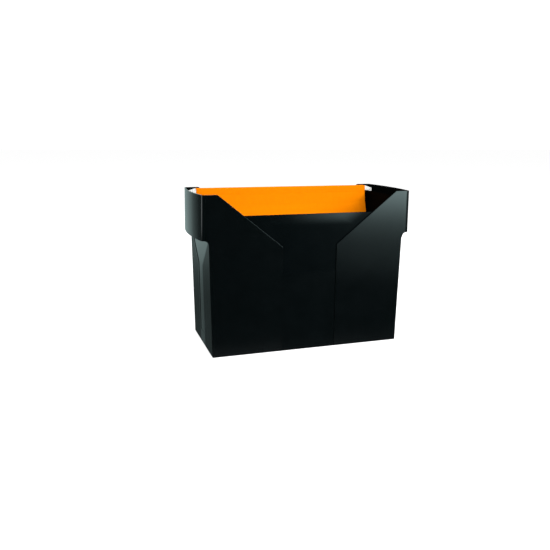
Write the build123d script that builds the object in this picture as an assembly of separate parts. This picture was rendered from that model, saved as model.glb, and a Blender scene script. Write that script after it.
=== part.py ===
from build123d import *
import math
import os

# Sizes are in millimetres. Origin: centre of the base, on the surface that the box stands on.
# +X runs along the long side, +Y to the back, +Z up.

# Tub
rim_height = 260.0
base_half_width = 163.2
waist_flare = 3.2
base_half_depth = 75.5
rim_flare = 0.5
wall = 2.2
floor_thickness = 2.6
tub_corner_radius = 1.6
foot_rim_width = 9.0
foot_rim_height = 1.2

# Grip bands at the two ends, and the ears that carry them
band_height = 70.0
band_overhang_low = 10.8
band_overhang_high = 9.6
band_bow = 7.0
ear_lean = 0.8
band_corner_radius = 2.0
gusset_radius = 8.0

# Rails, and the web that ties each rail to its band
rail_drop = 10.5
web_drop = 26.0
web_thickness = 2.2

# V notch in the front and back walls
notch_half_width = 110.0
notch_run = 41.5
notch_depth = 33.5
ear_top_radius = 3.0

# Y-shaped relief in the front and back walls
stem_half_width = 46.7
relief_depth = 2.5
relief_foot_depth = 0.8
relief_radius = 3.0

# Y-shaped finger relief in the end walls
end_stem_half_width = 15.0
end_relief_half_width = 70.0
end_relief_fork_drop = 50.0
end_relief_depth = 0.8
end_relief_foot_depth = 0.4
end_relief_foot = 22.0

# Edge rounding
rim_round = 0.5
base_round = 1.0

# Suspension file: one folded card whose two halves hang from steel bars
card_side_gap = 7.4
card_thickness = 0.5
card_top_gap = 1.2
card_bottom = 13.0
hem_width = 5.4
hem_length = 29.3
hem_pocket_height = 12.0
hem_glue_drop = 9.0
file_wall_gap = 3.0
bar_pitch = 6.0
leaf_lean = 2.4
leaf_bow = 22.0
fold_lip_height = 10.0
leaf_clearance = 0.3

# Bars and hook tips
bar_height = 7.0
bar_thickness = 1.0
bar_clearance = 0.1
bar_grip_length = 10.0
bar_rise = 4.2
tip_reach = 7.1
tip_thickness = 4.0
tip_sleeve_thickness = 2.6
tip_sleeve_height = 7.8
tip_sleeve_length = 13.0
tip_arm_height = 8.6
tip_end_height = 4.2
tip_drop = 6.0
tip_chamfer = 2.2
tip_corner_radius = 0.8
tip_edge_round = 0.5
rail_clearance = 0.2
rail_side_clearance = 0.5

# Places that follow from the sizes above
waist_half_width = base_half_width + waist_flare
rim_half_depth = base_half_depth + rim_flare
band_half_width_low = waist_half_width + band_overhang_low
band_half_width_high = waist_half_width + band_overhang_high
band_bottom = rim_height - band_height
rail_top = rim_height - rail_drop
web_top = rim_height - web_drop
web_bottom = web_top - web_thickness
notch_z = rim_height - notch_depth
notch_top_half_width = notch_half_width + notch_run
notch_slope = notch_depth / notch_run
fork_z = notch_z - (notch_half_width - stem_half_width) * notch_slope
card_top = rim_height - card_top_gap
hem_pocket_foot = card_top - hem_pocket_height
hem_foot = card_top - hem_length
saddle_z = rail_top + rail_clearance
bar_z = saddle_z + bar_rise
card_width = 2 * (waist_half_width - card_side_gap)
card_rear_y = rim_half_depth - relief_depth - wall - file_wall_gap
back_bar_y = card_rear_y - hem_width / 2
front_bar_y = back_bar_y - bar_pitch
fold_front_y = front_bar_y + card_thickness + leaf_clearance
fold_radius = (card_rear_y - fold_front_y) / 2
fold_z = card_bottom + fold_radius
arm_x = card_width / 2 + leaf_clearance
tip_end_half_width = waist_half_width + tip_reach
overshoot = 5.0

# How far off a point may lie and still be picked as on an edge or at a height
near = 0.03


def half_depth_at(z):
    return base_half_depth + (rim_half_depth - base_half_depth) * z / rim_height


def half_width_at(z):
    share = min(z / band_bottom, 1.0)
    return base_half_width + (waist_half_width - base_half_width) * share


# A four-sided block that tapers between two heights
def tapered_block(x_low, y_low, z_low, x_high, y_high, z_high, corner=0.0):
    outlines = []
    for x, y, z in ((x_low, y_low, z_low), (x_high, y_high, z_high)):
        outline = Rectangle(2 * x, 2 * y)
        if corner > 0:
            outline = fillet(outline.vertices(), corner)
        outlines.append(Pos(0, 0, z) * outline)
    return loft(outlines, ruled=True)


# The tub's outer or inner form, shrunk by a wall where one is given
def tub_form(inset, z_low, z_high, corner):
    waist = (half_width_at(band_bottom) - inset, half_depth_at(band_bottom) - inset)
    lower = tapered_block(half_width_at(z_low) - inset, half_depth_at(z_low) - inset, z_low,
                          *waist, band_bottom, corner)
    upper = tapered_block(*waist, band_bottom,
                          waist[0], half_depth_at(z_high) - inset, z_high, corner)
    return lower + upper


# Plan outline of the bands: bowed ends, and ear faces that lean back from the tub's corners
def band_plan(half_width, half_depth, face_x, corner):
    lean = ear_lean * (half_width - face_x) / (band_half_width_high - waist_half_width)
    ear_depth = half_depth - lean
    front = Polyline((-half_width, -ear_depth), (-face_x, -half_depth),
                     (face_x, -half_depth), (half_width, -ear_depth))
    right = ThreePointArc(front @ 1, (half_width + band_bow, 0), (half_width, ear_depth))
    back = Polyline(right @ 1, (face_x, half_depth), (-face_x, half_depth), (-half_width, ear_depth))
    left = ThreePointArc(back @ 1, (-half_width - band_bow, 0), front @ 0)
    plan = make_face([front, right, back, left])
    corners = [v for v in plan.vertices() if abs(v.X) > face_x + near]
    return fillet(corners, corner)


def band_form(inset, z_low, z_high, corner):
    plans = []
    for z in (z_low, z_high):
        share = (z - band_bottom) / band_height
        half_width = band_half_width_low + (band_half_width_high - band_half_width_low) * share
        plan = band_plan(half_width - inset, half_depth_at(z) - inset, waist_half_width, corner)
        plans.append(Pos(0, 0, z) * plan)
    return loft(plans, ruled=True)


# Wall of the bands and ears, left open along the middle of the box
def ear_ring(z_low, z_high):
    ring = band_form(0, z_low, z_high, band_corner_radius)
    ring -= band_form(wall, z_low - overshoot, z_high + overshoot, band_corner_radius / 2)
    return ring - Box(2 * (waist_half_width - 3 * wall), 4 * rim_half_depth, 4 * rim_height)


# Face in the X-Z plane pushed along Y, centred on Y = 0
def along_y(face, length):
    return extrude(Plane.XZ * face, length / 2, both=True)


# Face in the Y-Z plane pushed along X, centred on X = 0
def along_x(face, length):
    return extrude(Plane.YZ * face, length / 2, both=True)


def mirrored_points(points):
    return points + [(-x, z) for x, z in reversed(points)]


# Y outline of the front relief; grow widens it all round for the wall behind
def front_relief_outline(grow):
    reach = grow / math.sin(math.atan(notch_slope)) if grow else 0.0
    top_z = notch_z + overshoot
    top_x = notch_half_width + overshoot / notch_slope + reach
    stem = stem_half_width + grow
    stem_z = fork_z - (reach - grow) * notch_slope
    points = [(stem, -overshoot), (stem, stem_z), (top_x, top_z)]
    outline = make_face(Polyline(*mirrored_points(points), close=True))
    bends = [v for v in outline.vertices() if abs(v.Y - stem_z) < near]
    return fillet(bends, relief_radius + grow)


# Wedge between the drafted wall and the relief's own plane, which meets the wall at the base
def front_relief(inset):
    outline = front_relief_outline(inset)
    prism = along_y(outline, 4 * rim_half_depth)
    top_z = notch_z + overshoot
    far = rim_half_depth + overshoot
    relief_low = half_depth_at(0) - relief_foot_depth
    relief_high = half_depth_at(notch_z) - relief_depth
    relief_slope = (relief_high - relief_low) / notch_z
    points = [(-far, -overshoot), (inset - relief_low + relief_slope * overshoot, -overshoot),
              (inset - relief_low - relief_slope * top_z, top_z), (-far, top_z)]
    wedge = along_x(make_face(Polyline(*points, close=True)), 4 * band_half_width_low)
    return prism & wedge


def end_relief_outline(grow):
    slope = end_relief_fork_drop / (end_relief_half_width - end_stem_half_width)
    fork = band_bottom - end_relief_fork_drop
    top_z = web_bottom
    top_y = min(end_relief_half_width + (top_z - band_bottom) / slope, base_half_depth - 2 * wall) + grow
    stem = end_stem_half_width + grow
    points = [(stem, end_relief_foot - grow), (stem, fork - grow),
              (end_relief_half_width + grow, band_bottom - grow), (top_y, top_z)]
    outline = make_face(Polyline(*mirrored_points(points), close=True))
    bends = [v for v in outline.vertices() if v.Y < top_z - near]
    return fillet(bends, relief_radius + grow)


# Relief in the +X end wall
def end_relief(inset):
    outline = end_relief_outline(inset)
    prism = along_x(outline, 4 * band_half_width_low)
    far = band_half_width_low + band_bow + overshoot
    foot_x = half_width_at(end_relief_foot) - end_relief_foot_depth - inset
    top_x = waist_half_width - end_relief_depth - inset
    points = [(foot_x, end_relief_foot - inset), (top_x, band_bottom), (top_x, web_bottom),
              (far, web_bottom), (far, end_relief_foot - inset)]
    wedge = along_y(make_face(Polyline(*points, close=True)), 4 * rim_half_depth)
    return prism & wedge


# Everything above the rim, and the V notch
def rim_cut():
    far = band_half_width_low + band_bow + 2 * overshoot
    points = [(notch_half_width, notch_z), (notch_top_half_width, rim_height), (far, rim_height),
              (far, rim_height + 4 * overshoot)]
    outline = make_face(Polyline(*mirrored_points(points), close=True))
    bends = [v for v in outline.vertices() if abs(abs(v.X) - notch_top_half_width) < near]
    return along_y(fillet(bends, ear_top_radius), 4 * rim_half_depth)


def on_rim(point):
    x = abs(point.X)
    if abs(point.Z - rim_height) < near:
        return x > notch_top_half_width - ear_top_radius
    if abs(point.Z - notch_z) < near and x < notch_half_width + near:
        return True
    slant_z = rim_height - (notch_top_half_width - x) * notch_slope
    return fork_z - relief_radius < point.Z < rim_height and abs(point.Z - slant_z) < ear_top_radius / 4


# Long edges of the rim: all but the inner ones of the bands, and down both arms of the Y relief
def rim_edges(body):
    mid_wall = band_plan(band_half_width_high - wall / 2, rim_half_depth - wall / 2,
                         waist_half_width, band_corner_radius)
    chosen = []
    for edge in body.edges():
        start, middle, end = (edge @ share for share in (0, 0.5, 1))
        across_wall = abs(start.X - end.X) < near and edge.length < 4 * wall
        if across_wall or not all(on_rim(point) for point in (start, middle, end)):
            continue
        inside_band = abs(middle.X) > waist_half_width and mid_wall.is_inside(Vector(middle.X, middle.Y, 0))
        off_face = abs(abs(middle.Y) - half_depth_at(middle.Z)) > near
        relief_foot = middle.Z < notch_z - near and off_face
        if not inside_band and not relief_foot:
            chosen.append(edge)
    return chosen


# Concave corner under each ear, in the plane of the front and back walls
def ear_gussets():
    inner_x = waist_half_width - wall / 2
    outer_x = waist_half_width + gusset_radius
    foot_z = band_bottom - gusset_radius
    profile = make_face([
        Line((inner_x, band_bottom), (outer_x, band_bottom)),
        RadiusArc((outer_x, band_bottom), (waist_half_width, foot_z), -gusset_radius),
        Line((waist_half_width, foot_z), (inner_x, foot_z)),
        Line((inner_x, foot_z), (inner_x, band_bottom)),
    ])
    prism = along_y(profile, 4 * rim_half_depth)
    return ear_ring(foot_z, band_bottom) & (prism + mirror(prism, Plane.YZ))


def make_box_body():
    top = rim_height + overshoot
    outer = tub_form(0, 0, top, tub_corner_radius)
    outer = fillet(outer.edges().group_by(Axis.Z)[0], base_round)
    core = tub_form(wall, floor_thickness, top, tub_corner_radius)
    for turn in (0, 180):
        outer -= front_relief(0).rotate(Axis.Z, turn)
        core -= front_relief(wall).rotate(Axis.Z, turn)
        outer -= end_relief(0).rotate(Axis.Z, turn)
        core -= end_relief(wall).rotate(Axis.Z, turn)
    tub = outer - core

    web = band_form(wall / 2, web_bottom, web_top, band_corner_radius / 2)
    web -= Box(2 * (waist_half_width - wall / 2), 4 * rim_half_depth, 4 * rim_height)

    body = tub + ear_ring(band_bottom, top) + ear_gussets() + web

    room_x = waist_half_width + wall / 2
    body -= tapered_block(room_x, half_depth_at(rail_top) - wall, rail_top,
                          room_x, half_depth_at(top) - wall, top)
    body -= rim_cut()
    body = fillet(rim_edges(body), rim_round)

    hollow_x = 2 * (base_half_width - foot_rim_width)
    hollow_y = 2 * (base_half_depth - foot_rim_width)
    return body - Box(hollow_x, hollow_y, 2 * foot_rim_height)


# Section of a hem in the Y-Z plane: the card runs over the bar and is glued back to itself.
# side is -1 where the sheet hangs from the front of the bar, and +1 from the back
def hem_face(bar_y, side, lean):
    outer_y = bar_y + side * hem_width / 2
    flap_y = bar_y - side * hem_width / 2
    sheet = side * card_thickness
    join_z = hem_pocket_foot - hem_glue_drop
    join_y = outer_y + side * lean * hem_glue_drop / (hem_pocket_foot - hem_foot)
    crease_y = outer_y + side * lean
    outline = Polyline((outer_y, card_top), (flap_y, card_top), (flap_y, hem_pocket_foot),
                       (join_y - 2 * sheet, join_z), (crease_y - 2 * sheet, hem_foot), (crease_y, hem_foot),
                       (outer_y, hem_pocket_foot), close=True)
    pocket = Polyline((outer_y - sheet, card_top - card_thickness),
                      (flap_y + sheet, card_top - card_thickness),
                      (flap_y + sheet, hem_pocket_foot), (join_y - sheet, join_z),
                      (outer_y - sheet, hem_pocket_foot), close=True)
    return make_face(outline) - make_face(pocket)


# Front half of the card: the hem, then one bowed sweep from the crease down to the fold
def front_leaf():
    crease_y = front_bar_y - hem_width / 2 - leaf_lean
    bow_y = (crease_y + front_bar_y) / 2 - leaf_bow
    bow_z = (hem_foot + fold_z) / 2
    front = ThreePointArc((crease_y, hem_foot), (bow_y, bow_z), (front_bar_y, fold_z))
    inner = Pos(card_thickness, 0) * front
    sheet = make_face([front, Line(front @ 1, inner @ 1), inner, Line(inner @ 0, front @ 0)])
    return along_x(hem_face(front_bar_y, -1, leaf_lean) + sheet, card_width)


# Back half of the card, with the bottom fold and the short lip inside the front leaf's foot
def back_leaf():
    rear_y = card_rear_y
    lip_z = fold_z + fold_lip_height
    centre_y = rear_y - fold_radius
    inner_radius = fold_radius - card_thickness
    outer = [Line((rear_y, hem_foot), (rear_y, fold_z)),
             ThreePointArc((rear_y, fold_z), (centre_y, card_bottom), (fold_front_y, fold_z)),
             Line((fold_front_y, fold_z), (fold_front_y, lip_z))]
    inner = [Line((fold_front_y + card_thickness, lip_z), (fold_front_y + card_thickness, fold_z)),
             ThreePointArc((fold_front_y + card_thickness, fold_z), (centre_y, fold_z - inner_radius),
                           (rear_y - card_thickness, fold_z)),
             Line((rear_y - card_thickness, fold_z), (rear_y - card_thickness, hem_foot))]
    ends = [Line(outer[-1] @ 1, inner[0] @ 0), Line(inner[-1] @ 1, outer[0] @ 0)]
    sheet = make_face(outer + inner + ends)
    return along_x(hem_face(back_bar_y, 1, 0) + sheet, card_width)


def bar(bar_y):
    half_length = arm_x - tip_sleeve_length + bar_grip_length - bar_clearance
    return Pos(0, bar_y, bar_z) * Box(2 * half_length, bar_thickness, bar_height)


# Hook tip on the +X end of a bar: a saddle over the rail, a lip outside it, a sleeve on the bar
def right_tip(bar_y):
    lip_x = waist_half_width + rail_side_clearance
    lip_z = saddle_z - tip_drop
    arm_top = saddle_z + tip_arm_height
    outline = make_face(Polyline((arm_x, saddle_z), (lip_x, saddle_z), (lip_x, lip_z),
                                 (tip_end_half_width - tip_chamfer, lip_z),
                                 (tip_end_half_width, lip_z + tip_chamfer),
                                 (tip_end_half_width, saddle_z + tip_end_height),
                                 (arm_x + tip_corner_radius, arm_top), (arm_x, arm_top), close=True))
    bends = [v for v in outline.vertices() if v.X > lip_x - near and abs(v.Y - saddle_z) > near]
    hook = along_y(fillet(bends, tip_corner_radius), tip_thickness)
    faces_y = hook.edges().group_by(Axis.Y)
    hook = fillet(list(faces_y[0]) + list(faces_y[-1]), tip_edge_round)
    sleeve_x = arm_x - tip_sleeve_length
    to_right = (Align.MIN, Align.CENTER, Align.CENTER)
    sleeve = Box(tip_sleeve_length + tip_edge_round + tip_corner_radius, tip_sleeve_thickness,
                 tip_sleeve_height, align=to_right)
    slot = Box(bar_grip_length, bar_thickness + 2 * bar_clearance, bar_height + 2 * bar_clearance,
               align=to_right)
    tip = hook + Pos(sleeve_x, 0, bar_z) * (sleeve - slot)
    return Pos(0, bar_y, 0) * tip


def left_tip(bar_y):
    return mirror(right_tip(bar_y), Plane.YZ)


def main():
    os.makedirs("parts", exist_ok=True)
    parts = {
        "box_body": make_box_body(),
        "file_leaf_front": front_leaf(),
        "file_leaf_back": back_leaf(),
        "bar_front": bar(front_bar_y),
        "bar_back": bar(back_bar_y),
        "tip_front_left": left_tip(front_bar_y),
        "tip_front_right": right_tip(front_bar_y),
        "tip_back_left": left_tip(back_bar_y),
        "tip_back_right": right_tip(back_bar_y),
    }
    for name, solid in parts.items():
        print(name, len(solid.solids()), solid.is_valid, round(solid.volume))
        export_step(solid, f"parts/{name}.step")


main()
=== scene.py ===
import math

import bmesh
import bpy
from mathutils import Matrix, Vector


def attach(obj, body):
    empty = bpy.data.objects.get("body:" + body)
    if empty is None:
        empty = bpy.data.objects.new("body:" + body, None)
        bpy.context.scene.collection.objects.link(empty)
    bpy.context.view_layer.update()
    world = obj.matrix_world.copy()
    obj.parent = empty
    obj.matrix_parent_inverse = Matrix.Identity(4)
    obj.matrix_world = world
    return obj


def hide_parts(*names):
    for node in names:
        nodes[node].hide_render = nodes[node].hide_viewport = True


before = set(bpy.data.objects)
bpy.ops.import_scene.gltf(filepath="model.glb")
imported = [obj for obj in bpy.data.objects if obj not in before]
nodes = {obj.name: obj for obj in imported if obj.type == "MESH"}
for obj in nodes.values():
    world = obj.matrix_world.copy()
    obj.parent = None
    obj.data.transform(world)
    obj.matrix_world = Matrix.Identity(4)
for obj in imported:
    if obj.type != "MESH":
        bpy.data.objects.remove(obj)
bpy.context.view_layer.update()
print("frame loaded:", ", ".join(sorted(nodes)))


def addObject(name, data):
    made = bpy.data.objects.new(name, data)
    bpy.context.scene.collection.objects.link(made)
    return made


# puts a finished bmesh into the scene as an object of its own
def addShape(name, shape):
    mesh = bpy.data.meshes.new(name)
    shape.to_mesh(mesh)
    shape.free()
    return addObject(name, mesh)


# a flat square around its own origin
def addFlat(name, segments, halfSize):
    shape = bmesh.new()
    bmesh.ops.create_grid(shape, x_segments=segments, y_segments=segments, size=halfSize)
    return addShape(name, shape)


# camera, fitted to the photograph: place in metres, turns in radians, sensor in millimetres
view = {
    "place": (-0.35348, -0.97663, 0.34856),
    "yaw": 0.315448,
    "pitch": 0.226538,
    "roll": 0.0080248,
    "focalPixels": 606.5,
    "framePixels": 550,
    "sensorWidth": 36.0,
    "nearest": 0.05,
    "furthest": 60.0,
}


def aimCamera():
    data = bpy.data.cameras.new("cameraPhoto")
    data.sensor_width = view["sensorWidth"]
    data.lens = view["sensorWidth"] * view["focalPixels"] / view["framePixels"]
    data.clip_start = view["nearest"]
    data.clip_end = view["furthest"]
    yaw, pitch, roll = view["yaw"], view["pitch"], view["roll"]
    ahead = Vector((math.sin(yaw) * math.cos(pitch), math.cos(yaw) * math.cos(pitch), -math.sin(pitch)))
    right = ahead.cross(Vector((0, 0, 1))).normalized()
    up = right.cross(ahead)
    turnedRight = right * math.cos(roll) + up * math.sin(roll)
    turnedUp = up * math.cos(roll) - right * math.sin(roll)
    turn = Matrix((turnedRight, turnedUp, -ahead)).transposed().to_4x4()
    camera = addObject("cameraPhoto", data)
    camera.matrix_world = Matrix.Translation(view["place"]) @ turn
    bpy.context.scene.camera = camera


aimCamera()
print("camera set")


# wraps a socket, so that shader maths reads as plain arithmetic; without a socket it starts a tree
class Wire:
    def __init__(self, tree, socket=None):
        self.tree = tree
        self.socket = socket

    def __add__(self, other):
        return self.calc("ADD", self, other)

    def __radd__(self, other):
        return self.calc("ADD", other, self)

    def __sub__(self, other):
        return self.calc("SUBTRACT", self, other)

    def __rsub__(self, other):
        return self.calc("SUBTRACT", other, self)

    def __mul__(self, other):
        return self.calc("MULTIPLY", self, other)

    def __rmul__(self, other):
        return self.calc("MULTIPLY", other, self)

    def __abs__(self):
        return self.calc("ABSOLUTE", self)

    def larger(self, other):
        return self.calc("MAXIMUM", self, other)

    def calc(self, operation, *values):
        return self.node("ShaderNodeMath", {"operation": operation}, dict(enumerate(values)))

    # one coordinate of a place: 0 for X, 1 for Y, 2 for Z
    def axis(self, index):
        return self.node("ShaderNodeSeparateXYZ", {}, {0: self}, index)

    # goes from low to high while this value goes from start to end, and stays level outside
    def span(self, start, end, low, high, curve="SMOOTHSTEP"):
        return self.node("ShaderNodeMapRange", {"interpolation_type": curve},
                         {0: self, 1: start, 2: end, 3: low, 4: high})

    # any other node: its settings are set first, then its sockets take values or links
    def node(self, kind, settings=None, inputs=None, output=0):
        made = self.tree.nodes.new(kind)
        for name, value in (settings or {}).items():
            if name == "stops":
                setStops(made.color_ramp, value)
            else:
                setattr(made, name, value)
        for name, value in (inputs or {}).items():
            if isinstance(value, Wire):
                self.tree.links.new(value.socket, made.inputs[name])
            else:
                made.inputs[name].default_value = value
        return Wire(self.tree, made.outputs[output] if made.outputs else None)

    # links another wire to a socket of the node that this wire comes from
    def feed(self, name, other):
        self.tree.links.new(other.socket, self.socket.node.inputs[name])


# missing stops are added half way, and then each stop goes to its own place
def setStops(ramp, stops):
    while len(ramp.elements) < len(stops):
        ramp.elements.new(0.5)
    for element, (place, colour) in zip(ramp.elements, stops):
        element.position = place
        element.color = colour


# the emptied tree of a material or world
def startTree(owner):
    owner.use_nodes = True
    owner.node_tree.nodes.clear()
    return Wire(owner.node_tree)


# a material, its shader, and the place on the object that its finish follows
def startMaterial(name, constants):
    material = bpy.data.materials.new(name)
    start = startTree(material)
    shader = start.node("ShaderNodeBsdfPrincipled", {}, constants)
    start.node("ShaderNodeOutputMaterial", {}, {0: shader})
    return material, shader, start.node("ShaderNodeTexCoord", output="Object")


def greyNoise(place, scale, detail=2.0, rough=0.5, stretch=(1, 1, 1)):
    moved = place.node("ShaderNodeMapping", {}, {"Vector": place, "Scale": stretch})
    return place.node("ShaderNodeTexNoise", {},
                      {"Vector": moved, "Scale": scale, "Detail": detail, "Roughness": rough})


# inputs 6 and 7 of a Mix node are its two colours, and output 2 is the mixed one
def mixColour(share, first, second):
    return share.node("ShaderNodeMix", {"data_type": "RGBA"}, {0: share, 6: first, 7: second}, 2)


def addBump(shader, height, strength, depth):
    bump = shader.node("ShaderNodeBump", {}, {"Height": height, "Strength": strength, "Distance": depth})
    shader.feed("Normal", bump)


white = (1, 1, 1, 1)
noiseMiddle = 0.5  # grey noise varies around this value

# strip of painted shade on an ear's flat face, next to its corner: lengths in metres from its corner, which
# lies further out lower down
cornerShadeStrip = {
    "cornerAtTop": 0.1749,
    "lean": 0.0191,
    "top": 0.26,
    "start": -0.0044,
    "full": -0.0030,
    "fading": -0.0001,
    "gone": 0.0005,
}


# 1 in a narrow strip of an ear's flat face, next to its corner, where shade is painted by a weaker coat,
# and 0 on the corner itself and further in
def cornerShadeShare(place):
    corner = cornerShadeStrip["cornerAtTop"] + cornerShadeStrip["lean"] * (cornerShadeStrip["top"] - place.axis(2))
    past = abs(place.axis(0)) - corner
    near = past.span(cornerShadeStrip["start"], cornerShadeStrip["full"], 0.0, 1.0)
    within = past.span(cornerShadeStrip["fading"], cornerShadeStrip["gone"], 1.0, 0.0)
    return near * within


# painted shade, made by a weaker coat, in the recessed relief of a long wall: heights, and the slanted line
# of the notch's arm; lengths in metres
recessShade = {
    "brightAbove": 0.223,
    "shadedBelow": 0.206,
    "armSlope": 1.239,
    "armStart": -0.1706,
    "armNear": 0.008,
    "armFar": 0.054,
    "fullAbove": 0.135,
    "faintBelow": 0.118,
    "faintShare": 0.4,
}


# 1 where shade is painted in the relief and along the arms, 0 in the bright patch under the rim, and the
# faint share at the foot
def recessShadeShare(place):
    height = place.axis(2)
    fromArm = height * recessShade["armSlope"] + recessShade["armStart"] - abs(place.axis(0))
    byArm = fromArm.span(recessShade["armNear"], recessShade["armFar"], 1.0, 0.0)
    below = height.span(recessShade["shadedBelow"], recessShade["brightAbove"], 1.0, 0.0)
    above = height.span(recessShade["faintBelow"], recessShade["fullAbove"], recessShade["faintShare"], 1.0)
    return above * below.larger(byArm)


# funnel and stem of an end wall, which keep the full coat while the flanks around them get painted shade,
# as half widths and heights; lengths in metres
funnel = {
    "stem": 0.015,
    "widest": 0.070,
    "forkHeight": 0.140,
    "topHeight": 0.190,
    "softness": 0.007,
    "innerSoftness": 0.3,
}


# 1 on the flat flanks of an end wall, where shade is painted by a weaker coat, and 0 on its funnel and
# stem, with a soft edge between
def flankShadeShare(place):
    width = place.axis(2).span(funnel["forkHeight"], funnel["topHeight"], funnel["stem"], funnel["widest"],
                               "LINEAR")
    past = abs(place.axis(1)) - width
    return past.span(-funnel["innerSoftness"] * funnel["softness"], funnel["softness"], 0.0, 1.0)


# what all black finishes share
moulding = {
    "ior": 1.5,
    "dustScale": 38.0,
    "dustDetail": 4.0,
    "flowScale": 5.0,
    "flowStretch": (1, 1, 0.35),
    "grainScale": 900.0,
    "waveScale": 22.0,
    "waveDetail": 1.0,
    "bumpDepth": 0.0006,
}
glossLook = {
    "colour": (0.0008, 0.0015, 0.0017, 1),
    "dustColour": (0.0026, 0.0040, 0.0044, 1),
    "gloss": 0.0,
    "coat": 1.0,
    "coatRough": 0.10,
    "rough": 0.5,
    "roughSpread": 0.08,
    "grain": 0.12,
    "wave": 0.8,
    "bump": 0.03,
}
wallLook = dict(glossLook, shadedCoat=0.12)
endLook = dict(glossLook, shadedCoat=0.42)
reliefLook = dict(glossLook, shadedCoat=0.08)
# the inside's colours are darker than the outside's: painted shade inside the box
shadedInsideLook = {
    "colour": (0.0006, 0.0012, 0.0012, 1),
    "dustColour": (0.0014, 0.0024, 0.0023, 1),
    "gloss": 0.006,
    "coat": 0.0,
    "coatRough": 0.3,
    "rough": 0.62,
    "roughSpread": 0.12,
    "grain": 1.0,
    "wave": 0.5,
    "bump": 0.25,
}


# black plastic; where the painted-shade share is 1, the coat keeps only its lowered weight, which darkens
# the reflection as painted shade
def blackMoulding(name, look, shadeShare):
    constants = {
        "IOR": moulding["ior"],
        "Specular IOR Level": look["gloss"],
        "Coat Weight": look["coat"],
        "Coat Roughness": look["coatRough"],
    }
    material, shader, place = startMaterial(name, constants)
    dust = greyNoise(place, moulding["dustScale"], moulding["dustDetail"])
    flow = greyNoise(place, moulding["flowScale"], stretch=moulding["flowStretch"])
    shader.feed("Base Color", mixColour(dust * flow, look["colour"], look["dustColour"]))
    shader.feed("Roughness", look["rough"] + look["roughSpread"] * (dust - noiseMiddle))
    grain = greyNoise(place, moulding["grainScale"])
    wave = greyNoise(place, moulding["waveScale"], moulding["waveDetail"])
    addBump(shader, grain * look["grain"] + wave * look["wave"], look["bump"], moulding["bumpDepth"])
    if shadeShare:
        shader.feed("Coat Weight", look["coat"] - (look["coat"] - look["shadedCoat"]) * shadeShare(place))
    return material


orangeLook = {
    "colour": (0.93, 0.235, 0.0003, 1),
    "paleFibre": (1.0, 0.28, 0.0006, 1),
    "darkFibre": (0.86, 0.195, 0.0002, 1),
    "gloss": 0.02,
    "rough": 0.66,
    "roughSpread": 0.2,
    "fibreScale": 260.0,
    "fibreDetail": 4.0,
    "fibreRough": 0.6,
    "fibreStretch": (1.0, 1.0, 0.3),
    "cloudScale": 9.0,
    "cloudDetail": 3.0,
    "fineScale": 1400.0,
    "fineShare": 0.5,
    "bump": 0.10,
    "bumpDepth": 0.0002,
}


def orangeCard():
    look = orangeLook
    material, shader, place = startMaterial("orangeCard", {"Specular IOR Level": look["gloss"]})
    fibre = greyNoise(place, look["fibreScale"], look["fibreDetail"], look["fibreRough"],
                      look["fibreStretch"])
    cloud = greyNoise(place, look["cloudScale"], look["cloudDetail"])
    base = mixColour(fibre, look["darkFibre"], look["paleFibre"])
    shader.feed("Base Color", mixColour(cloud, base, look["colour"]))
    shader.feed("Roughness", look["rough"] + look["roughSpread"] * (fibre - noiseMiddle))
    fine = greyNoise(place, look["fineScale"])
    addBump(shader, fibre + look["fineShare"] * fine, look["bump"], look["bumpDepth"])
    return material


cutEdgeLook = {
    "dark": (0.72, 0.17, 0.004, 1),
    "pale": (0.95, 0.33, 0.02, 1),
    "gloss": 0.02,
    "rough": 0.7,
    "roughSpread": 0.25,
    "fibreScale": 900.0,
    "fibreDetail": 4.0,
    "fibreRough": 0.7,
}


# raw cut edge of the card, paler than its dyed faces
def cardEdge():
    look = cutEdgeLook
    material, shader, place = startMaterial("cardEdge", {"Specular IOR Level": look["gloss"]})
    fibre = greyNoise(place, look["fibreScale"], look["fibreDetail"], look["fibreRough"])
    shader.feed("Base Color", mixColour(fibre, look["dark"], look["pale"]))
    shader.feed("Roughness", look["rough"] + look["roughSpread"] * fibre)
    return material


tipLook = {
    "dark": (0.80, 0.80, 0.78, 1),
    "pale": (0.88, 0.88, 0.87, 1),
    "ior": 1.47,
    "rough": 0.32,
    "roughSpread": 0.12,
    "cloudScale": 120.0,
    "cloudDetail": 3.0,
    "grainScale": 1500.0,
    "bump": 0.05,
    "bumpDepth": 0.0002,
}


def whiteTip():
    look = tipLook
    material, shader, place = startMaterial("whiteTip", {"IOR": look["ior"]})
    cloud = greyNoise(place, look["cloudScale"], look["cloudDetail"])
    shader.feed("Base Color", mixColour(cloud, look["dark"], look["pale"]))
    shader.feed("Roughness", look["rough"] + look["roughSpread"] * cloud)
    addBump(shader, greyNoise(place, look["grainScale"]), look["bump"], look["bumpDepth"])
    return material


steelLook = {
    "dark": (0.42, 0.43, 0.45, 1),
    "pale": (0.62, 0.63, 0.65, 1),
    "rough": 0.28,
    "roughSpread": 0.2,
    "brushScale": 700.0,
    "brushDetail": 3.0,
    "brushRough": 0.6,
    "brushStretch": (0.02, 1, 1),
    "bump": 0.1,
    "bumpDepth": 0.0001,
}


def barSteel():
    look = steelLook
    material, shader, place = startMaterial("barSteel", {"Metallic": 1.0})
    brushed = greyNoise(place, look["brushScale"], look["brushDetail"], look["brushRough"],
                        look["brushStretch"])
    shader.feed("Base Color", mixColour(brushed, look["dark"], look["pale"]))
    shader.feed("Roughness", look["rough"] + look["roughSpread"] * brushed)
    addBump(shader, brushed, look["bump"], look["bumpDepth"])
    return material


# the first word of a node's name says which finish it has, and the box is finished on its own
finishes = {
    "bar": barSteel(),
    "tip": whiteTip(),
    "file": orangeCard(),
}
cutEdge = cardEdge()
for name, node in nodes.items():
    node.data.materials.clear()
    if name != "box_body":
        node.data.materials.append(finishes[name.split("_")[0]])

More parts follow.
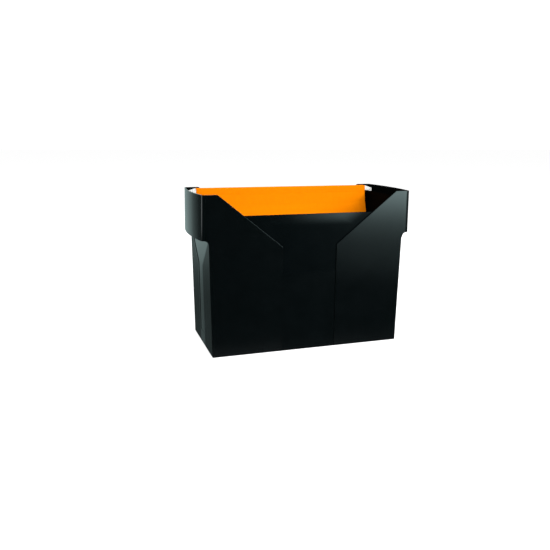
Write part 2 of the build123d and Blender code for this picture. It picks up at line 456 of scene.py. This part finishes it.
# the box's finishes in the order of its slots, each with the share of the surface where shade is painted by
# a weaker coat
boxFinishes = {
    "glossMoulding": (wallLook, cornerShadeShare),
    "insideMoulding": (shadedInsideLook, None),
    "endMoulding": (endLook, flankShadeShare),
    "reliefMoulding": (reliefLook, recessShadeShare),
}
# where they meet, in metres, and how squarely a face must look along an axis
boxPlaces = {
    "endWall": 0.1655,
    "relief": 0.0749,
    "floor": 0.004,
    "webFoot": 0.2,
    "webTop": 0.24,
    "bandFoot": 0.19,
    "squarely": 0.9,
    "inwards": -1e-5,
}


# the mould leaves the outside glossy and the inside with a dull grain; the inside is also coloured darker,
# as painted shade inside the box
def mouldingAt(spot, facing):
    squarely = boxPlaces["squarely"]
    inwards = facing.x * spot.x + facing.y * spot.y < boxPlaces["inwards"]
    onFloor = facing.z > squarely and spot.z < boxPlaces["floor"]
    beyondWall = abs(spot.x) > boxPlaces["endWall"] and boxPlaces["webFoot"] < spot.z < boxPlaces["webTop"]
    if inwards or onFloor or (beyondWall and abs(facing.z) > squarely):
        return "insideMoulding"
    if abs(facing.x) > squarely and spot.z < boxPlaces["bandFoot"]:
        return "endMoulding"
    if abs(facing.y) > squarely and abs(spot.y) < boxPlaces["relief"]:
        return "reliefMoulding"
    return "glossMoulding"


def finishBox(body):
    for name, (look, shadeShare) in boxFinishes.items():
        body.data.materials.append(blackMoulding(name, look, shadeShare))
    slots = list(boxFinishes)
    for face in body.data.polygons:
        face.material_index = slots.index(mouldingAt(face.center, face.normal))


finishBox(nodes["box_body"])
print("finishes laid on the frame")


# the folded card: its middle line in the Y-Z plane, in millimetres, swept along X and given its thickness
card = {
    "thickness": 0.5,
    "halfWidth": 159.0,
    "columns": 72,
    "cornerReach": 0.9,
    "cornerSteps": 4,
    "top": 258.8,
    "pocketFoot": 246.8,
    "joinHeight": 237.8,
    "hemFoot": 229.5,
    "hemWidth": 5.4,
    "frontBarY": 59.6,
    "frontLean": 2.4,
    "frontFootY": 59.85,
    "frontBow": 22.0,
    "frontSteps": 40,
    "backBarY": 65.6,
    "backLean": 0.0,
    "backSteps": 30,
    "foldY": 64.35,
    "foldHeight": 16.95,
    "foldRadius": 3.7,
    "foldSteps": 12,
    "lipHeights": (22.0, 26.95),
    "shadingWeight": 90,
}
perMetre = 1000  # millimetres


# hem of a leaf, from its glued flap over the bar and down to the crease; side is -1 for the front leaf
def hemLine(barY, side, lean):
    half = card["thickness"] / 2
    outer = barY + side * (card["hemWidth"] / 2 - half)
    flap = barY - side * (card["hemWidth"] / 2 - half)
    joinShare = (card["pocketFoot"] - card["joinHeight"]) / (card["pocketFoot"] - card["hemFoot"])
    joined = outer + side * lean * joinShare
    crease = outer + side * lean
    layer = -side * card["thickness"]
    return [(crease + layer, card["hemFoot"]), (joined + layer, card["joinHeight"]),
            (flap, card["pocketFoot"]), (flap, card["top"] - half), (outer, card["top"] - half),
            (outer, card["pocketFoot"]), (crease, card["hemFoot"])]


# a short curve in place of each corner of the line
def softCorners(line):
    reach, steps = card["cornerReach"], card["cornerSteps"]
    points = [Vector(spot) for spot in line]
    made = [points[0]]
    for before, corner, after in zip(points, points[1:], points[2:]):
        first = corner + (before - corner).normalized() * min(reach, (before - corner).length / 2)
        last = corner + (after - corner).normalized() * min(reach, (after - corner).length / 2)
        for step in range(steps + 1):
            share = step / steps
            made.append(first * (1 - share) ** 2 + corner * 2 * share * (1 - share) + last * share ** 2)
    made.append(points[-1])
    return made


# points of the arc from start to end that bulges by rise towards -Y, without its start
def bowLine(start, end, rise, steps):
    start, end = Vector(start), Vector(end)
    chord = (end - start).length
    radius = (chord * chord / 4 + rise * rise) / (2 * rise)
    middle = (start + end) / 2
    along = (end - start).normalized()
    away = Vector((along.y, -along.x))
    away = away if away.x < 0 else -away
    centre = middle - away * (radius - rise)
    half = math.asin(chord / 2 / radius)
    turns = [half * (2 * step / steps - 1) for step in range(1, steps + 1)]
    return [centre + away * radius * math.cos(turn) + along * radius * math.sin(turn) for turn in turns]


# slight waviness of hanging card, faded out at hem and foot: lengths in millimetres, turns in radians
waviness = {
    "wave": 0.35,
    "waveAlong": 2.1,
    "wavePhase": 0.4,
    "waveDrop": 47,
    "ripple": 0.12,
    "rippleAlong": 9.0,
    "rippleDrop": 31,
    "hemFade": 60,
    "footEnd": 26,
    "footFade": 50,
}


def clamp(value):
    return max(0.0, min(1.0, value))


def swayAt(along, height):
    waveTurn = waviness["waveAlong"] * along + waviness["wavePhase"]
    rippleTurn = waviness["rippleAlong"] * along + height / waviness["rippleDrop"]
    sway = waviness["wave"] * math.sin(waveTurn) * math.cos(height / waviness["waveDrop"])
    sway += waviness["ripple"] * math.sin(rippleTurn)
    fromHem = clamp((card["hemFoot"] - height) / waviness["hemFade"])
    fromFoot = clamp((height - waviness["footEnd"]) / waviness["footFade"])
    return fromHem * fromFoot * sway


def makeLeaf(name, line, body, node):
    shape = bmesh.new()
    rows = len(line) - 1
    bmesh.ops.create_grid(shape, x_segments=card["columns"], y_segments=rows, size=1.0)
    for vertex in shape.verts:
        along = vertex.co.x
        spot = line[round((vertex.co.y + 1) / 2 * rows)]
        vertex.co = Vector((along * card["halfWidth"], spot.x + swayAt(along, spot.y), spot.y)) / perMetre
    bmesh.ops.recalc_face_normals(shape, faces=shape.faces)
    leaf = addShape(name, shape)
    for face in leaf.data.polygons:
        face.use_smooth = True
    thick = leaf.modifiers.new("thickness", "SOLIDIFY")
    thick.thickness = card["thickness"] / perMetre
    thick.offset = 0
    thick.material_offset_rim = 1
    evened = leaf.modifiers.new("evenShading", "WEIGHTED_NORMAL")
    evened.weight = card["shadingWeight"]
    leaf.data.materials.append(finishes["file"])
    leaf.data.materials.append(cutEdge)
    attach(leaf, body)
    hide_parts(node)


def frontLeafLine():
    hem = hemLine(card["frontBarY"], -1, card["frontLean"])
    foot = (card["frontFootY"], card["foldHeight"])
    return softCorners(hem) + bowLine(hem[-1], foot, card["frontBow"], card["frontSteps"])


# hem, straight back, half round fold, and the short lip that holds the front leaf's foot
def backLeafLine():
    hem = hemLine(card["backBarY"], 1, card["backLean"])
    backY, lipY = card["foldY"] + card["foldRadius"], card["foldY"] - card["foldRadius"]
    drop = card["foldHeight"] - card["hemFoot"]
    straight = [Vector((backY, card["hemFoot"] + drop * step / card["backSteps"]))
                for step in range(1, card["backSteps"])]
    turns = [math.pi * step / card["foldSteps"] for step in range(card["foldSteps"] + 1)]
    fold = [Vector((card["foldY"] + card["foldRadius"] * math.cos(turn),
                    card["foldHeight"] - card["foldRadius"] * math.sin(turn))) for turn in turns]
    return softCorners(hem) + straight + fold + [Vector((lipY, height)) for height in card["lipHeights"]]


makeLeaf("cardLeafFront", frontLeafLine(), "front_leaf", "file_leaf_front")
makeLeaf("cardLeafBack", backLeafLine(), "file", "file_leaf_back")
print("card leaves made")


floorLook = {
    "halfSize": 14.0,
    "segments": 2,
    "colour": (0.9, 0.9, 0.9, 1),
    "rough": 0.9,
    "glow": 0.62,
}


def makeFloor():
    constants = {
        "Base Color": floorLook["colour"],
        "Roughness": floorLook["rough"],
        "Emission Color": white,
        "Emission Strength": floorLook["glow"],
    }
    floor = addFlat("floor", floorLook["segments"], floorLook["halfSize"])
    floor.data.materials.append(startMaterial("paleFloor", constants)[0])
    floor.visible_glossy = False


# brightness of the air as a light, and as the background that the camera sees
air = {
    "lighting": 0.45,
    "seen": 1.1,
}


def paintWorld():
    world = bpy.data.worlds.new("studio")
    bpy.context.scene.world = world
    start = startTree(world)
    seen = start.node("ShaderNodeLightPath", output="Is Camera Ray")
    strength = air["lighting"] + seen * (air["seen"] - air["lighting"])
    back = start.node("ShaderNodeBackground", {}, {0: white, 1: strength})
    start.node("ShaderNodeOutputWorld", {}, {0: back})
    world.cycles_visibility.glossy = False


# turns an azimuth from the front (degrees, towards the right) and a distance into a place
def around(azimuth, distance, height):
    turn = math.radians(azimuth)
    return (distance * math.sin(turn), -distance * math.cos(turn), height)


# soft lamps, which light the file and the floor and don't show in the gloss
lamps = {
    "topSoft": {"place": (-0.3, 0.1, 2.4), "aim": (0, 0, 0.1), "size": (2.6, 2.2), "power": 22.0},
    "leftFill": {"place": around(-35, 2.2, 1.2), "aim": (0, 0, 0.2), "size": (1.4, 1.4), "power": 14.0},
    "rightKey": {"place": around(26, 2.0, 1.05), "aim": (0, 0, 0.22), "size": (1.3, 1.0), "power": 42.0},
}


def makeLamp(name, lamp):
    data = bpy.data.lights.new(name, "AREA")
    data.shape = "RECTANGLE"
    data.size, data.size_y = lamp["size"]
    data.energy = lamp["power"]
    made = addObject(name, data)
    made.location = lamp["place"]
    made.rotation_euler = (Vector(lamp["aim"]) - Vector(lamp["place"])).to_track_quat("-Z", "Y").to_euler()
    made.visible_glossy = False
    made.visible_camera = False


# stops of a grey ramp, from pairs of place and brightness
def grey(*pairs):
    return [(place, (value, value, value, 1)) for place, value in pairs]


# boards only show in reflections; their glow runs across and up them as the ramps say
sideFade = grey((0.0, 0.0), (0.1, 1.0), (0.9, 1.0), (1.0, 0.0))
boards = {
    "rightSoftbox": {
        "place": around(36, 2.0, 0.40),
        "aim": (0, 0, 0.40),
        "size": (1.6, 1.5),
        "glow": 4.6,
        "across": grey((0.0, 1.0), (0.70, 1.0), (0.75, 0.8), (0.81, 0.5), (0.875, 0.2), (0.92, 0.0)),
        "up": grey((0.0, 0.0), (0.075, 0.045), (0.14, 0.08), (0.20, 0.2), (0.24, 0.46), (0.28, 0.8),
                   (0.30, 1.0)),
        "colour": (0.74, 1.0, 1.0, 1),
    },
    "backBoard": {
        "place": (-0.4, 2.4, 0.4),
        "aim": (-0.4, 0.0, 0.4),
        "size": (3.0, 3.0),
        "glow": 0.52,
        "across": grey((0.10, 0.1), (0.16, 0.25), (0.21, 0.38), (0.267, 0.5), (0.33, 0.87), (0.43, 1.0)),
        "up": grey((0.05, 0.3), (0.167, 0.28), (0.20, 0.36), (0.223, 0.48), (0.25, 0.78), (0.28, 1.0),
                   (0.36, 0.85)),
        "colour": (0.74, 1.0, 0.98, 1),
    },
    "leftBoard": {
        "place": around(-85, 2.0, 0.40),
        "aim": (0, 0, 0.40),
        "size": (3.6, 1.0),
        "glow": 2.2,
        "across": sideFade,
        "up": grey((0.0, 0.0), (0.05, 1.0), (1.0, 1.0)),
        "colour": (0.9, 0.98, 1.0, 1),
    },
    "rightBoard": {
        "place": around(92, 2.0, 0.0),
        "aim": (0, 0, 0.0),
        "size": (2.0, 2.0),
        "glow": 0.6,
        "across": sideFade,
        "up": grey((0.0, 0.08), (0.36, 0.14), (0.47, 1.0), (1.0, 1.0)),
        "colour": (0.9, 0.98, 1.0, 1),
    },
    "tableSheen": {
        "place": (0, -0.15, -0.30),
        "aim": (0, -0.15, 1),
        "size": (1.9, 1.6),
        "glow": 0.5,
        "across": grey((0.0, 0.0), (0.35, 1.0), (0.65, 1.0), (1.0, 0.0)),
        "up": grey((0.0, 0.0), (0.416, 1.0), (0.772, 1.0), (1.0, 0.0)),
        "colour": (0.88, 0.98, 1.0, 1),
    },
}
halfBoard = 0.5  # a board is one unit wide before it is scaled, so its own places run from -0.5 to 0.5


def makeBoard(name, board):
    made = addFlat(name, 1, halfBoard)
    made.location = board["place"]
    made.rotation_euler = (Vector(board["aim"]) - Vector(board["place"])).to_track_quat("Z", "Y").to_euler()
    made.scale = (*board["size"], 1)
    material = bpy.data.materials.new(name)
    spot = startTree(material).node("ShaderNodeTexCoord", output="Object")
    across = spot.node("ShaderNodeValToRGB", {"stops": board["across"]}, {0: spot.axis(0) + halfBoard})
    up = spot.node("ShaderNodeValToRGB", {"stops": board["up"]}, {0: spot.axis(1) + halfBoard})
    glow = spot.node("ShaderNodeEmission", {}, {0: board["colour"], 1: across * up * board["glow"]})
    spot.node("ShaderNodeOutputMaterial", {}, {0: glow})
    made.data.materials.append(material)
    made.visible_camera = False
    made.visible_diffuse = False
    made.visible_shadow = False
    made.visible_transmission = False


bpy.context.scene.view_settings.view_transform = "Standard"
makeFloor()
paintWorld()
for name, lamp in lamps.items():
    makeLamp(name, lamp)
for name, board in boards.items():
    makeBoard(name, board)
print("studio lit")
